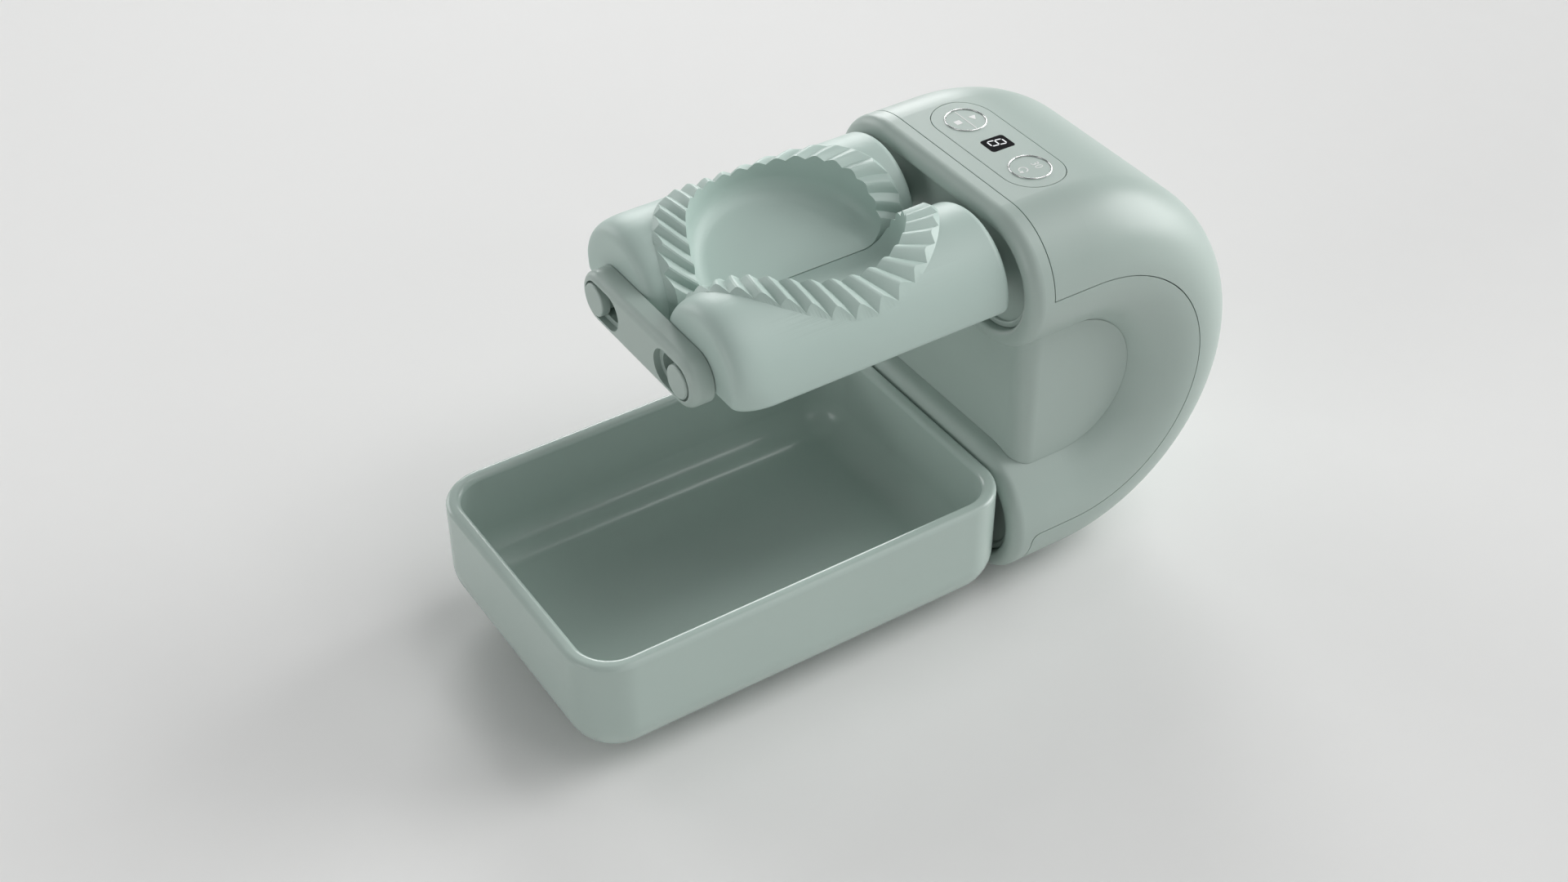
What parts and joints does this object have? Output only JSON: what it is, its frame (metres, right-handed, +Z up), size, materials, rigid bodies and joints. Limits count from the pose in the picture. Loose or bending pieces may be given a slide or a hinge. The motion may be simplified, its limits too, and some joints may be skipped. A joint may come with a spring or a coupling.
{
  "type": "electric dumpling maker",
  "caption": "Small electric dumpling maker: C-shaped body, contra-rotating crimped mould rollers joined by a tie bar, push-button panel, and a collecting tray below.",
  "frame": {"origin": "on the table, under the middle of the whole machine's length and width", "axes": "+Z up, +X along the length from the tray's free end to the back of the body, near side -Y"},
  "size_m": [0.261, 0.11, 0.1467],
  "materials": {
    "sage_plastic": "satin moulded plastic",
    "display_black": "polished",
    "switch_black": "matt",
    "chrome_trim": "bright plated",
    "circuit_board": "solder mask",
    "plated_steel": "plated",
    "gearbox_alloy": "stamped",
    "bush_bronze": "sintered",
    "soft_rubber": "matt",
    "gear_plastic": "natural",
    "cell_wrap": "shrink film"
  },
  "bodies": {
    "housing": {"c_frame": "sage_plastic", "outer_cover": "sage_plastic", "spine_block": "sage_plastic", "head_front_plate": "sage_plastic", "base_front_plate": "sage_plastic", "control_panel": "sage_plastic", "tie_bar": "sage_plastic", "display_window": "display_black", "display_module": "switch_black", "tact_switches": "switch_black", "button_rings": "chrome_trim", "control_board": "circuit_board", "charging_board": "circuit_board", "charging_socket": "plated_steel", "cover_screws": "plated_steel", "dock_magnets": "plated_steel", "gear_motor": "plated_steel", "idler_pins": "plated_steel", "gearbox_front_plate": "gearbox_alloy", "gearbox_rear_plate": "gearbox_alloy", "gearbox_spacers": "gearbox_alloy", "shaft_bushes": "bush_bronze", "shaft_seals": "soft_rubber", "base_feet": "soft_rubber", "battery_cells": "cell_wrap", "battery_holder": "switch_black"},
    "roller_near": {"mould_near": "sage_plastic", "drive_shaft_near": "plated_steel", "drive_gear_near": "gear_plastic", "retaining_pin_near": "sage_plastic"},
    "roller_far": {"mould_far": "sage_plastic", "drive_shaft_far": "plated_steel", "drive_gear_far": "gear_plastic", "retaining_pin_far": "sage_plastic"},
    "idler_near": {"idler_gear_near": "gear_plastic"},
    "idler_far": {"idler_gear_far": "gear_plastic"},
    "button_start": {"start_button": "sage_plastic"},
    "button_turns": {"turns_button": "sage_plastic"},
    "tray": {"collecting_tray": "sage_plastic", "tray_feet": "soft_rubber", "tray_keepers": "plated_steel"}
  },
  "joints": [
    {"name": "mould_near_spin", "type": "hinge", "parent": "housing", "child": "roller_near", "pos_m": [0, -0.025, 0.1221], "axis": [-1, 0, 0], "continuous": true},
    {"name": "mould_far_spin", "type": "hinge", "parent": "housing", "child": "roller_far", "pos_m": [0, 0.025, 0.1221], "axis": [-1, 0, 0], "continuous": true},
    {"name": "idler_near_spin", "type": "hinge", "parent": "housing", "child": "idler_near", "pos_m": [0.05, -0.0065, 0.1221], "axis": [-1, 0, 0], "continuous": true},
    {"name": "idler_far_spin", "type": "hinge", "parent": "housing", "child": "idler_far", "pos_m": [0.05, 0.0065, 0.1221], "axis": [-1, 0, 0], "continuous": true},
    {"name": "start_button_press", "type": "slide", "parent": "housing", "child": "button_start", "axis": [0, 0, -1], "range_m": [0, 0.0008], "stiffness_N_per_m": 900},
    {"name": "turns_button_press", "type": "slide", "parent": "housing", "child": "button_turns", "axis": [0, 0, -1], "range_m": [0, 0.0008], "stiffness_N_per_m": 900},
    {"name": "tray_slide", "type": "slide", "parent": "housing", "child": "tray", "axis": [-1, 0, 0], "range_m": [0, 0.06]}
  ],
  "couplings": [
    {"joint": "mould_far_spin", "follows": "mould_near_spin", "ratio": -1},
    {"joint": "idler_near_spin", "follows": "mould_near_spin", "ratio": -1.8462},
    {"joint": "idler_far_spin", "follows": "mould_near_spin", "ratio": 1.8462}
  ]
}
